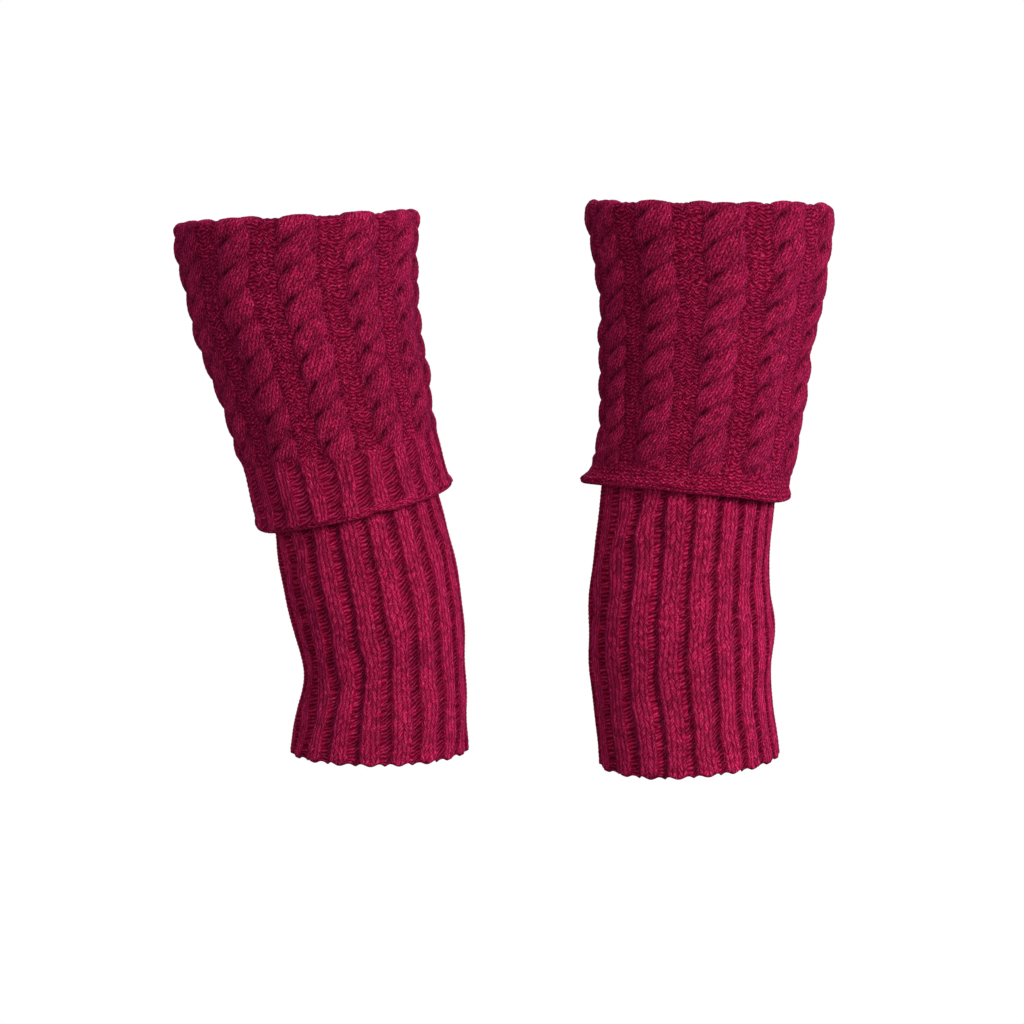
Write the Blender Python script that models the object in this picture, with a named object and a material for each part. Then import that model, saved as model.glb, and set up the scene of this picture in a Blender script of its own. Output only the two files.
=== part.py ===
# Pair of knitted leg warmers in their worn form: ribbed tubes with turned-down cable cuffs.
# Metres, +Z up. The origin is midway between the two legs, level with the folded rims.
# X runs across the pair, Y runs from front to back, and angles round a tube start at +X.

from collections import namedtuple
from math import cos, exp, pi, radians, sin

import bpy
from mathutils import Vector

PART_NAME = "leg_warmers"
MM = 0.001

# Cloth
WALL = 2.2 * MM                # knitted wall without its cables or ribs
SEAM_GAP = 0.3 * MM            # between two pieces that are sewn or knitted on
DEPTH_RATIO = 1.04             # front-to-back size of a leg over its width

# Rope cables of the cuff
CABLE_COUNT = 12
CABLE_HEIGHT = 2.8 * MM
CABLE_PITCH = 14.7 * MM        # one lobe of the rope to the next
CABLE_VALLEY = 0.3             # height between two lobes, as a share of the lobe
CABLE_LEAN = 0.5               # rise of a lobe's edge from the middle to the side, in pitches
ROPE_CREST = 0.45              # place of the rope's two crests across its half width
ROWS_PER_LOBE = 3

# Ribs of the tube
RIB_COUNT = 20
RIB_HEIGHT = 2.0 * MM
SCALLOP = 1.0 * MM             # the bottom hem hangs lower in the furrows, higher at the ribs

# Folded rim: the cloth turns down outside itself round a small gap
FOLD_GAP = 1.6 * MM
FOLD_RADIUS = WALL + FOLD_GAP / 2
LIMB_DEPTH = 8.0 * MM          # the cuff's short inner limb ends this far under the rim
CABLE_AT_RIM = 0.7             # the cables flatten a little where they roll over the rim

# Rolled hem of the cuff
HEM_RADIUS = 2.5 * MM
HEM_POINTS = 48
HEM_INSET = 0.4 * MM            # the roll's middle lies this far inside the cuff's ground
FLARE_WIDTH = 18.0             # degrees; how far round a turned-out corner of the hem reaches
FLARE_RISE = 24.0 * MM         # how far above the hem it starts

# One row for each cross-section: its place along the piece, from 0 at the top to 1 at the
# bottom, its centre, its half width over the cables or ribs, and how far its right end and
# its back are raised, in degrees.
Section = namedtuple("Section", "along centre_x centre_z half_width roll pitch")
Tube = namedtuple("Tube", "along centre_x centre_z half_width roll pitch rib")
# phase is the place of one cable or furrow, and spread widens the pattern towards toward.
Pattern = namedtuple("Pattern", "phase spread toward")
Leg = namedtuple("Leg", "cuff length band flare flare_at cables tube ribs")

LEFT = Leg(
    cuff=[
        Section(0.00, -107.4, -5.6, 65.2, 2.4, 0.0),
        Section(0.25, -104.8, -43.8, 61.4, 4.2, 1.0),
        Section(0.50, -96.8, -81.2, 56.8, 6.7, 2.0),
        Section(0.75, -86.9, -118.4, 53.4, 9.6, 3.0),
        Section(1.00, -77.2, -156.2, 53.0, 12.4, 3.7),
    ],
    length=154.0 * MM,
    band=30.0 * MM,
    flare=0.0,
    flare_at=180.0,
    cables=Pattern(phase=-88.8, spread=0.10, toward=-108.0),
    tube=[
        Tube(0.00, -107.2, -13.9, 58.4, 2.4, 0.2, 0.0),
        Tube(0.26, -96.8, -80.0, 49.0, 6.5, 2.0, 0.5),
        Tube(0.54, -77.5, -155.0, 43.9, 8.9, 3.0, 1.0),
        Tube(0.66, -70.5, -186.9, 45.2, 6.3, 3.0, 1.0),
        Tube(0.77, -64.7, -218.9, 44.3, 4.2, 2.5, 1.0),
        Tube(0.845, -62.4, -239.5, 42.4, 3.1, 2.3, 1.0),
        Tube(0.91, -62.9, -258.4, 44.2, 2.0, 2.0, 1.0),
        Tube(1.00, -65.3, -282.9, 46.3, 0.0, 2.0, 1.0),
    ],
    ribs=Pattern(phase=-85.0, spread=0.12, toward=-88.0),
)

RIGHT = Leg(
    cuff=[
        Section(0.00, 106.9, 1.6, 66.4, -0.4, 0.0),
        Section(0.25, 108.2, -38.6, 60.8, -0.8, -0.5),
        Section(0.50, 105.2, -74.4, 56.2, -1.7, -1.0),
        Section(0.75, 102.8, -110.7, 53.6, -3.0, -2.0),
        Section(1.00, 97.9, -148.4, 52.2, -4.8, -2.5),
    ],
    length=150.0 * MM,
    band=8.0 * MM,
    flare=8.8 * MM,
    flare_at=-174.0,
    cables=Pattern(phase=-86.8, spread=0.13, toward=-87.0),
    tube=[
        Tube(0.00, 106.9, -6.7, 59.4, -0.4, 0.0, 0.0),
        Tube(0.12, 107.6, -38.0, 52.6, -0.6, -0.5, 0.2),
        Tube(0.25, 104.9, -73.6, 48.0, -1.3, -1.0, 0.5),
        Tube(0.38, 101.4, -109.2, 45.8, -2.0, -1.5, 0.8),
        Tube(0.51, 96.2, -147.2, 45.0, -1.3, -1.0, 1.0),
        Tube(0.63, 92.6, -181.7, 46.0, 0.3, 1.0, 1.0),
        Tube(0.75, 92.3, -216.3, 48.3, 2.2, 2.5, 1.0),
        Tube(0.875, 93.1, -250.9, 46.6, 4.2, 3.5, 1.0),
        Tube(1.00, 96.9, -287.0, 47.5, 3.8, 4.0, 1.0),
    ],
    ribs=Pattern(phase=-100.8, spread=0.20, toward=-183.0),
)

# Columns of one cable's share of the cuff: place across it, from -1 at the rope's left foot to
# 1 at its right foot; raised on the rope; raised in the rib band. The last one is the ground.
CableColumn = namedtuple("CableColumn", "share across rope rib")
CABLE_COLUMNS = [
    CableColumn(-0.27, -1.0, 0.0, 0.0),
    CableColumn(-0.12, -ROPE_CREST, 1.0, 1.0),
    CableColumn(0.12, ROPE_CREST, 1.0, 1.0),
    CableColumn(0.27, 1.0, 0.0, 0.0),
    CableColumn(0.50, 0.0, 0.0, 1.0),
]
BAND_RIB = 0.5                 # the band's ribs, as a share of the cable height

# Columns of one rib's share of the tube, from its furrow's middle
RibColumn = namedtuple("RibColumn", "share raised")
RIB_COLUMNS = [
    RibColumn(-0.15, 0.0),
    RibColumn(0.15, 0.0),
    RibColumn(0.35, 1.0),
    RibColumn(0.65, 1.0),
]

TUBE_OUTER_ROWS = [0.14, 0.30, 0.46, 0.55, 0.63, 0.71, 0.78, 0.845, 0.92, 1.0]
TUBE_INNER_ROWS = [1.0, 0.845, 0.66, 0.46, 0.24]
CUFF_INNER_ROWS = [0.75, 0.5, 0.25]
BAND_ROWS = [0.25, 1.0]        # rings of the band, as shares of its height
FOLD_ANGLES = [180.0, 135.0, 90.0, 45.0, 0.0]
FOLD_INNER_ANGLES = [0.0, 90.0, 180.0]

RASPBERRY = (0.212, 0.006, 0.034, 1.0)
KNIT_ROUGHNESS = 0.9


def clear_scene():
    for thing in list(bpy.data.objects):
        bpy.data.objects.remove(thing, do_unlink=True)


def read_row(table, along):
    """A row of a table of sections at any place along it, on a smooth curve through its rows."""
    last = len(table) - 1
    at = 0
    while at < last - 1 and along > table[at + 1].along:
        at += 1

    def slope(index, column):
        before = table[max(index - 1, 0)]
        after = table[min(index + 1, last)]
        return (after[column] - before[column]) / (after.along - before.along)

    start, end = table[at], table[at + 1]
    span = end.along - start.along
    t = (along - start.along) / span
    values = []
    for column in range(len(start)):
        curve = (2 * t**3 - 3 * t**2 + 1) * start[column]
        curve += (t**3 - 2 * t**2 + t) * span * slope(at, column)
        curve += (3 * t**2 - 2 * t**3) * end[column]
        curve += (t**3 - t**2) * span * slope(at + 1, column)
        values.append(curve)
    return type(start)(*values)


def place(row, angle, out=0.0, up=0.0):
    """The point at an angle round a section, moved out from its oval and up along its axis."""
    roll = radians(row.roll)
    pitch = radians(row.pitch)
    across = Vector((cos(roll), 0.0, sin(roll)))
    back = Vector((0.0, cos(pitch), sin(pitch)))
    centre = Vector((row.centre_x * MM, 0.0, row.centre_z * MM))
    wide = row.half_width * MM + out
    deep = row.half_width * MM * DEPTH_RATIO + out
    ring = across * (wide * cos(angle)) + back * (deep * sin(angle))
    return centre + ring + across.cross(back) * up


def pattern_angle(pattern, turn_share):
    """The angle of a place in the knitted pattern, which one side of the leg spreads wider."""
    knitted = radians(pattern.phase) + 2 * pi * turn_share
    return knitted + pattern.spread * sin(knitted - radians(pattern.toward))


def flare_out(leg, angle, above_hem):
    """How far a corner of the cuff's hem turns out."""
    turned = (angle - radians(leg.flare_at) + pi) % (2 * pi) - pi
    round_the_leg = exp(-(turned / radians(FLARE_WIDTH)) ** 2)
    up_the_cuff = max(0.0, 1.0 - above_hem / FLARE_RISE) ** 2
    return leg.flare * round_the_leg * up_the_cuff


def ring_wall(name, rings):
    """A closed wall through rings of equal count, each joined to the next, the last to the first.
    The rings run down the outside and up the inside, and their angles grow from +X to +Y."""
    count = len(rings[0])
    points = [point for ring in rings for point in ring]
    faces = []
    for ring in range(len(rings)):
        here = ring * count
        below = (ring + 1) % len(rings) * count
        for column in range(count):
            beside = (column + 1) % count
            faces.append((here + column, below + column, below + beside, here + beside))
    mesh = bpy.data.meshes.new(name)
    mesh.from_pydata(points, [], faces)
    mesh.update()
    return bpy.data.objects.new(name, mesh)


def knit_material(name):
    material = bpy.data.materials.new(name)
    material.use_nodes = True
    shader = material.node_tree.nodes["Principled BSDF"]
    shader.inputs["Base Color"].default_value = RASPBERRY
    shader.inputs["Roughness"].default_value = KNIT_ROUGHNESS
    shader.inputs["Metallic"].default_value = 0.0
    return material


def finish(piece, collection):
    collection.objects.link(piece)
    piece.data.materials.append(knit_material(piece.name))
    piece.data.shade_smooth()


def lobe_height(lobes):
    """The rope's height along it: full over a lobe, lower where two lobes meet."""
    from_middle = abs(2 * (lobes % 1.0) - 1)
    return CABLE_VALLEY + (1 - CABLE_VALLEY) * (1 - from_middle**4)


def cuff_ring(leg, row_place, rope, rib, above_hem, lean):
    """One ring of the cuff's outer face, over its cables or the ribs of its band."""
    ring = []
    for cable in range(CABLE_COUNT):
        for column in CABLE_COLUMNS:
            angle = pattern_angle(leg.cables, (cable + column.share) / CABLE_COUNT)
            across = max(-ROPE_CREST, min(ROPE_CREST, column.across))
            leaning = across * 2 * CABLE_LEAN * CABLE_PITCH
            along = row_place - lean * leaning / leg.length
            raised = CABLE_HEIGHT * (rope * column.rope + rib * BAND_RIB * column.rib)
            out = raised - CABLE_HEIGHT + flare_out(leg, angle, above_hem)
            ring.append(place(read_row(leg.cuff, along), angle, out))
    return ring


def fold_ring(leg, fold_angle, radius, rope):
    """One ring round the folded rim, at an angle from the outside (0) over the top to inside."""
    row = read_row(leg.cuff, 0.0)
    turn = radians(fold_angle)
    ring = []
    for cable in range(CABLE_COUNT):
        for column in CABLE_COLUMNS:
            angle = pattern_angle(leg.cables, (cable + column.share) / CABLE_COUNT)
            reach = radius + CABLE_HEIGHT * rope * column.rope
            out = -CABLE_HEIGHT - FOLD_RADIUS + reach * cos(turn)
            ring.append(place(row, angle, out, -FOLD_RADIUS + reach * sin(turn)))
    return ring


def plain_ring(leg, row_place, out, up=0.0, flare_above=None):
    """One plain ring of the cuff, measured from its ground between the cables."""
    row = read_row(leg.cuff, row_place)
    ring = []
    for cable in range(CABLE_COUNT):
        for column in CABLE_COLUMNS:
            angle = pattern_angle(leg.cables, (cable + column.share) / CABLE_COUNT)
            flare = 0.0
            if flare_above is not None:
                flare = flare_out(leg, angle, flare_above)
            ring.append(place(row, angle, out - CABLE_HEIGHT + flare, up))
    return ring


def cable_cuff(leg, name):
    """The cuff: inner limb, fold, cabled outer face, hem edge, and its plain inner face."""
    hem_edge = leg.length - 2 * HEM_RADIUS - SEAM_GAP
    limb_inside = -2 * FOLD_RADIUS
    rings = [plain_ring(leg, 0.0, limb_inside, -LIMB_DEPTH)]
    for fold_angle in FOLD_ANGLES:
        rope = CABLE_AT_RIM * max(0.0, min(1.0, (180.0 - fold_angle) / 90.0))
        rings.append(fold_ring(leg, fold_angle, FOLD_RADIUS, rope))

    row_step = CABLE_PITCH / ROWS_PER_LOBE
    cable_end = hem_edge - leg.band
    depth = FOLD_RADIUS + row_step
    while depth < cable_end:
        steps = round((depth - FOLD_RADIUS) / row_step)
        near_rim = min(1.0, (depth - FOLD_RADIUS) / CABLE_PITCH)
        near_band = min(1.0, (cable_end - depth) / CABLE_PITCH)
        lean = min(near_rim, near_band)
        rope = lobe_height(steps / ROWS_PER_LOBE)
        rings.append(cuff_ring(leg, depth / leg.length, rope, 0.0, leg.length - depth, lean))
        depth += row_step
    for share in BAND_ROWS:
        depth = cable_end + leg.band * share
        rings.append(cuff_ring(leg, depth / leg.length, 0.0, 1.0, leg.length - depth, 0.0))

    edge = hem_edge / leg.length
    rings.append(plain_ring(leg, edge, -WALL, flare_above=leg.length - hem_edge))
    for share in CUFF_INNER_ROWS:
        rings.append(plain_ring(leg, share, -WALL))
    for fold_angle in FOLD_INNER_ANGLES:
        rings.append(fold_ring(leg, fold_angle, FOLD_GAP / 2, 0.0))
    rings.append(plain_ring(leg, 0.0, limb_inside + WALL, -LIMB_DEPTH))
    return ring_wall(name, rings)


def rib_tube(leg, name):
    """The ribbed tube, plain inside, from the cuff's inner limb to the scalloped bottom hem."""
    def ring(share, inside):
        row = read_row(leg.tube, share)
        height = RIB_HEIGHT * row.rib
        points = []
        for rib in range(RIB_COUNT):
            for column in RIB_COLUMNS:
                angle = pattern_angle(leg.ribs, (rib + column.share) / RIB_COUNT)
                out = -height - WALL if inside else height * (column.raised - 1)
                hang = SCALLOP * (2 * column.raised - 1) if share == 1.0 else 0.0
                points.append(place(row, angle, out, hang))
        return points

    def seam_ring(inside):
        row = read_row(leg.cuff, 0.0)
        out = -CABLE_HEIGHT - 2 * FOLD_RADIUS + (0.0 if inside else WALL)
        points = []
        for rib in range(RIB_COUNT):
            for column in RIB_COLUMNS:
                angle = pattern_angle(leg.ribs, (rib + column.share) / RIB_COUNT)
                points.append(place(row, angle, out, -LIMB_DEPTH - SEAM_GAP))
        return points

    rings = [seam_ring(False)]
    rings += [ring(share, False) for share in TUBE_OUTER_ROWS]
    rings += [ring(share, True) for share in TUBE_INNER_ROWS]
    rings.append(seam_ring(True))
    return ring_wall(name, rings)


def rolled_hem(leg, name):
    """The curled lower edge of the cuff, a closed roll just under its wall."""
    curve = bpy.data.curves.new(name, "CURVE")
    curve.dimensions = "3D"
    curve.bevel_depth = HEM_RADIUS
    curve.bevel_resolution = 1
    spline = curve.splines.new("POLY")
    spline.points.add(HEM_POINTS - 1)
    spline.use_cyclic_u = True
    row = read_row(leg.cuff, 1.0 - HEM_RADIUS / leg.length)
    for index, point in enumerate(spline.points):
        angle = 2 * pi * index / HEM_POINTS
        out = -CABLE_HEIGHT - HEM_INSET + flare_out(leg, angle, HEM_RADIUS)
        point.co = (*place(row, angle, out), 1.0)
    holder = bpy.data.objects.new(name, curve)
    bpy.context.scene.collection.objects.link(holder)
    bpy.context.view_layer.update()
    evaluated = holder.evaluated_get(bpy.context.evaluated_depsgraph_get())
    mesh = bpy.data.meshes.new_from_object(evaluated)
    mesh.name = name
    bpy.data.objects.remove(holder, do_unlink=True)
    return bpy.data.objects.new(name, mesh)


def build():
    clear_scene()
    collection = bpy.data.collections.new(PART_NAME)
    bpy.context.scene.collection.children.link(collection)
    for side, leg in (("left", LEFT), ("right", RIGHT)):
        finish(rib_tube(leg, side + "_rib_tube"), collection)
        finish(cable_cuff(leg, side + "_cable_cuff"), collection)
        finish(rolled_hem(leg, side + "_rolled_hem"), collection)


build()
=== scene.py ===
# A pair of raspberry knitted leg warmers in their worn form, stitch by stitch, in a white studio.
# Metres, +Z up. X runs across the pair, Y runs from front to back, and angles round a tube start at +X.

import math
from collections import namedtuple

import bmesh
import bpy
import numpy as np
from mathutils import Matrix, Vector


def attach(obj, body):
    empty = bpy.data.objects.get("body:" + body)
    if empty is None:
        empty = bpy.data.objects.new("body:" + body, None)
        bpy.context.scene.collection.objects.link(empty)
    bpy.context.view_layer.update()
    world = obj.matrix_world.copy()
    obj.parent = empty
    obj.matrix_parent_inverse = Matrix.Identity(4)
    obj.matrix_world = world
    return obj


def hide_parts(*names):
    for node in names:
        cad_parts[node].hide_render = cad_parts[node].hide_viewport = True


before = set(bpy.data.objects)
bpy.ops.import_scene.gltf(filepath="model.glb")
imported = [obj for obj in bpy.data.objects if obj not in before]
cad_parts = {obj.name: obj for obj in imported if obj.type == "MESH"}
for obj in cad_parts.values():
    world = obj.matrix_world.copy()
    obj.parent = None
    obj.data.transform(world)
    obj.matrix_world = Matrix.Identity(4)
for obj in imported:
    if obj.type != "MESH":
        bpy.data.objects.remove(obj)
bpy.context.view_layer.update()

MM = 0.001
TURN = 2 * math.pi
NUDGE = 1e-6  # moves a place on the edge of a stitch just inside it

# Cloth
WALL = 2.2 * MM  # knitted wall without its cables or ribs
SEAM_GAP = 0.3 * MM
DEPTH_RATIO = 1.04  # front-to-back size of a leg over its width
EDGE_FADE = 3.0 * MM  # stitches keep their place within this distance of an edge
WELD = 0.002 * MM  # points closer than this become one

# Rope cables of the cuff: two pairs of wales that cross in front of each other in turn
CABLE_COUNT = 12
CABLE_HEIGHT = 2.8 * MM
CABLE_PITCH = 14.7 * MM  # one lobe of the rope to the next
CABLE_VALLEY = 0.02  # height between two lobes, as a share of the lobe
CABLE_TILT = 0.35  # how much a lobe stands over the one that it crosses
CABLE_BULGE = 0.15  # how far a lobe swells past the rope's sides
LOBE_SCATTER = 0.16  # uneven height of single lobes
FIRST_LOBE = 40  # the first lobe's row of random numbers
ROPE_SHARE = 0.26  # half width of the rope, as a share of a cable's part
ROPE_SIDE = 0.15  # share of that over which its strands fade at a side
ROPE_WALES = 4
GROUND_WALES = 3
CABLE_WALES = ROPE_WALES + GROUND_WALES
CUFF_WALES = CABLE_COUNT * CABLE_WALES
ROPE_LEGS = 4  # strands of yarn that shift from one lobe to the next
ROPE_SHIFT = 0.37  # strands by which one lobe is out of step with the next
ROPE_STITCHES = 5  # stitches of a strand in one lobe
ROPE_SLANT = 1.4  # stitches that a strand rises over half the rope
ROPE_RELIEF = 0.7  # relief of its strands, as a share of a rib's
ROPE_FOOT = 0.35  # and what is left of it where the rope turns down
ROPE_MESH = 32  # mesh columns across the rope
LOBE_ROWS = 12  # rows of the mesh in one lobe
LEAN_ROWS = 5  # rows that a lobe's edge rises from the middle to a side
CUFF_STEP = CABLE_PITCH / LOBE_ROWS
CABLE_AT_RIM = 0.55  # the cables flatten where they roll over the rim
CABLE_IN_LIMB = 0.40  # and more on the short inner limb

# Dark pit between two lobes, in shares of the rope's half width and, along it, of a lobe
PIT_DEPTH = 0.7 * MM
PIT_AT = -0.5
PIT_WIDTH = 0.3
PIT_LENGTH = 0.13

# Round forms, 1 in the middle and 0 at the sides. A higher crown is flatter, a lower side steeper.
Swelling = namedtuple("Swelling", "crown side")
ACROSS_ROPE = Swelling(crown=2.6, side=0.62)
ALONG_LOBE = Swelling(crown=2.3, side=0.6)

# Band between the cables and the cuff's hem, ribbed on the left leg and plain on the right one
BAND_RIB = 0.42  # height of its ribs, as a share of the cable height
BAND_BROAD = 0.28  # how much broader its ribs are than its furrows
BAND_PLAIN = 0.12  # height of a plain band, as a share of the cable height
BAND_PURL = 0.4  # and its relief, as a share of the ground's
BAND_ABOVE = 5.0 * MM  # the cables pass into the band from this far above its top
BAND_BELOW = 1.5 * MM  # to this far below it

# Ribs of the tube
RIB_COUNT = 20
RIB_WALES = 4  # two knit, two purl
TUBE_WALES = RIB_COUNT * RIB_WALES
RIB_HEIGHT = 2.0 * MM
FURROW_DEPTH = 2.5 * MM  # the furrows between the stitches sink a little deeper
RIB_EDGE = 2.1  # how squarely a rib stands up
RIB_SPREAD = 0.76  # the knit pairs spread, and the purl pairs draw together
SCALLOP = 0.7 * MM  # the bottom hem hangs lower in each furrow and at each rib
SCALLOP_RISE = 9.0 * MM
EDGE_DROP = 0.35  # share of the wall by which the bottom edge bulges down
INNER_RIB = 0.9 * MM  # relief of the ribs on the inside
TOP_BLEND = 0.14  # share of the tube over which it eases into the seam at its top

# Folded rim: the cloth turns down outside itself round a small gap
FOLD_GAP = 1.6 * MM
FOLD_RADIUS = WALL + FOLD_GAP / 2
LIMB_DEPTH = 8.0 * MM
LIMB_END = -(math.pi * FOLD_RADIUS + LIMB_DEPTH - FOLD_RADIUS)
LIMB_FADE = 2.0 * MM  # the stitches level out this close to the limb's end
RIM_TOP = -math.pi / 2 * FOLD_RADIUS
RIM_EASE = 8.0 * MM  # the cables have their full height this far down the outer face
SETTLE = 20.0 * MM  # the cloth is even at the rim, and fully uneven this far below

# Rolled hem of the cuff
HEM_RADIUS = 2.5 * MM
HEM_INSET = 0.4 * MM
HEM_CRESTS = 0.3 * MM  # room in it for the stitches' crests
HEM_RELIEF = 0.4  # relief of its stitches, as a share of the ground's
HEM_UNEVEN = 0.06  # uneven thickness of the roll
HEM_ROWS = 24  # rows of the mesh round the roll
HEM_MESH = 4  # rows and columns of the mesh in one stitch
ROLL_FROM = 5.0 * MM  # the wall swells into the roll from this far above its end
ROLL_TO = 0.8 * MM  # to this far above it
ROLL_FLAT = 0.75  # share by which the band's relief flattens there
ROLL_GAP = 0.1 * MM  # how far the wall stays under the roll's outer side
ROLL_WALL = 1.6 * MM  # and the depth of its inner face there
FLARE_WIDTH = 18.0  # reach of the flared corner round the leg, in degrees
FLARE_RISE = 24.0 * MM  # and up the cuff
FLARE_EASE = 1.4  # how sharply the corner turns out at the end

# Stitches
TUBE_ROW = 2.0 * MM  # height of one row of knitting
CUFF_ROW = CABLE_PITCH / 6
YARN_RELIEF = 0.55 * MM  # crest of a yarn over the gap beside it
YARN_FLOOR = 0.50  # two legs of one stitch lie close, with a shallow gap
YARN_LEVEL = 0.7  # share of the relief that lies under the wall's even face
LAP = 0.45  # how far one stitch dips under the next
V_RISE = 0.85  # the arms of a stitch rise this share of a row to its sides
V_SLANT = 0.09  # and lean this share of a wale
PURL_RELIEF = 0.45 * MM
PURL_LEVEL = 0.45  # share of that relief that lies under the wall's even face
PURL_MIDDLE = 0.4  # share of it that only the middle of a bump has
PURL_RIDGE = 0.7  # how broad the ridge of a purl bump is along its row
PURL_ARC = 0.24  # rows that a purl bump sags in the middle
PURL_IN_FURROW = 0.3  # purl stitches lie flatter in a furrow, as a share
FOOT = 0.07  # share of the ground that stays level beside a rope
STITCH_SCATTER = 0.35  # uneven height of single stitches
PLACE_SCATTER = 0.13  # and uneven place, in wales
STITCH_TABLE = 160  # rows of random numbers before they come round again

# Mesh
MESH_PER_ROW = 2
MESH_PER_WALE = 6
GROUND_MESH = 5  # mesh columns on a wale of the cuff's ground
HIDDEN_ROWS = 10  # rows under the cuff
INNER_LOW_ROWS = 8  # rows inside the tube near its hem
INNER_STEP = 4 * TUBE_ROW  # and the height of each of these
INNER_HIGH_ROWS = 16  # rows inside above them

# Texture of the yarn, in stitches
GROUND_FINE = 4 / 3  # stitches of the ground's texture on one of its mesh
HEM_FINE = 1.6
FURROW_SLANT = 1.7  # rows that a strand rises across the furrow of a rib
CABLE_TEXTURE = 40  # wales between two ropes' textures
INNER_TEXTURE = 200  # rows of texture over the bake map

# Painted shade in the yarn's colour, by how deep places lie: about 0 on top and 1 at the bottom of a
# furrow
CUFF_SHADE = 0.50  # painted shade over the whole cuff, so the cables are a little darker than the ribs
CREASE_SHADE = 0.62  # between two lobes
CREASE_SIDES = 0.30  # more at both sides of the rope
CREASE_LEFT = 0.25  # and at the left one, turned from the light
PIT_SHADE = 0.95
LOBE_TONE = 0.16  # uneven tone of single lobes, at random
GROUND_SHADE = 0.02
BESIDE_SHADE = 0.45  # the ground beside a rope
BESIDE_REACH = 0.3  # and the share of the ground it reaches
FURROW_SHADE = 0.82  # the furrows of the ribs are darkest
FLAT_SHADE = 0.4  # share of that shade where the ribs have flattened out
SHADE_SHIFT = 0.3  # wales by which a furrow's painted shade lies past its middle, to the side turned from the light
BAND_SHADE = 0.8  # the furrows of the band
PLAIN_SHADE = 0.3  # a plain band
TUBE_INSIDE_SHADE = 0.5
CUFF_INSIDE_SHADE = 0.3
# below 0: painted light on the rolled hem
HEM_SHADE = -0.3

# Bands of the bake map, from 0 to 1
TUBE_OUTER = (0.02, 0.48)
TUBE_EDGE = (0.50, 0.515)
TUBE_INNER = (0.53, 0.97)
TUBE_SEAM = 0.985
CUFF_OUTER = (0.02, 0.70)
CUFF_INNER = (0.72, 0.98)

# Sections of a cuff and of a tube: their place along it as a share of its length, the middle and
# half width in millimetres, how far they lean in degrees, and how far the ribs stand up
Section = namedtuple("Section", "along centre_x centre_z half_width roll pitch")
Tube = namedtuple("Tube", "along centre_x centre_z half_width roll pitch rib")
# Where the first cable or rib lies, in degrees, and how far the others spread from an angle
Pattern = namedtuple("Pattern", "phase spread toward")
# A soft dip of the cuff's rim or hem: its angle and reach round the leg in degrees, how low it
# hangs, its distance under the rim and its reach along the leg.
Dip = namedtuple("Dip", "at reach low under_rim along")
# One leg warmer. lobes is the mesh row at which its ropes start, and tube_shows the share of the
# tube under the cuff's hem.
Leg = namedtuple(
    "Leg",
    "cuff length band band_ribs flare flare_at cables lobes dips tube ribs rib_broad tube_shows seed",
)

LEFT = Leg(
    cuff=[
        Section(0.00, -107.4, -5.6, 65.2, 2.4, 0.0),
        Section(0.25, -104.8, -43.8, 61.4, 4.2, 1.0),
        Section(0.50, -96.8, -81.2, 56.8, 6.7, 2.0),
        Section(0.75, -86.9, -118.4, 53.4, 9.6, 3.0),
        Section(1.00, -77.2, -156.2, 53.0, 12.4, 3.7),
    ],
    length=154.0 * MM,
    band=30.0 * MM,
    band_ribs=1.0,
    flare=0.0,
    flare_at=180.0,
    cables=Pattern(phase=-88.8, spread=0.10, toward=-108.0),
    lobes=8,
    dips=[
        Dip(180.0, 32.0, 2.2 * MM, 0.0, 14 * MM),
        Dip(-69.0, 7.0, 1.4 * MM, 0.0, 8 * MM),
        Dip(-74.0, 6.0, -1.4 * MM, 154 * MM, 9 * MM),
        Dip(-150.0, 30.0, 1.0 * MM, 154 * MM, 12 * MM),
    ],
    tube=[
        Tube(0.00, -107.2, -13.9, 58.4, 2.4, 0.2, 0.0),
        Tube(0.26, -96.8, -80.0, 49.0, 6.5, 2.0, 0.5),
        Tube(0.54, -77.5, -155.0, 43.9, 8.9, 3.0, 1.0),
        Tube(0.66, -70.5, -186.9, 45.2, 6.3, 3.0, 1.0),
        Tube(0.77, -64.7, -218.9, 44.3, 4.2, 2.5, 1.0),
        Tube(0.845, -62.4, -239.5, 42.4, 3.1, 2.3, 1.0),
        Tube(0.91, -62.9, -258.4, 44.2, 2.0, 2.0, 1.0),
        Tube(1.00, -65.3, -282.9, 46.3, 0.0, 2.0, 1.0),
    ],
    ribs=Pattern(phase=-85.0, spread=0.12, toward=-88.0),
    rib_broad=0.42,
    tube_shows=0.44,
    seed=11,
)

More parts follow.
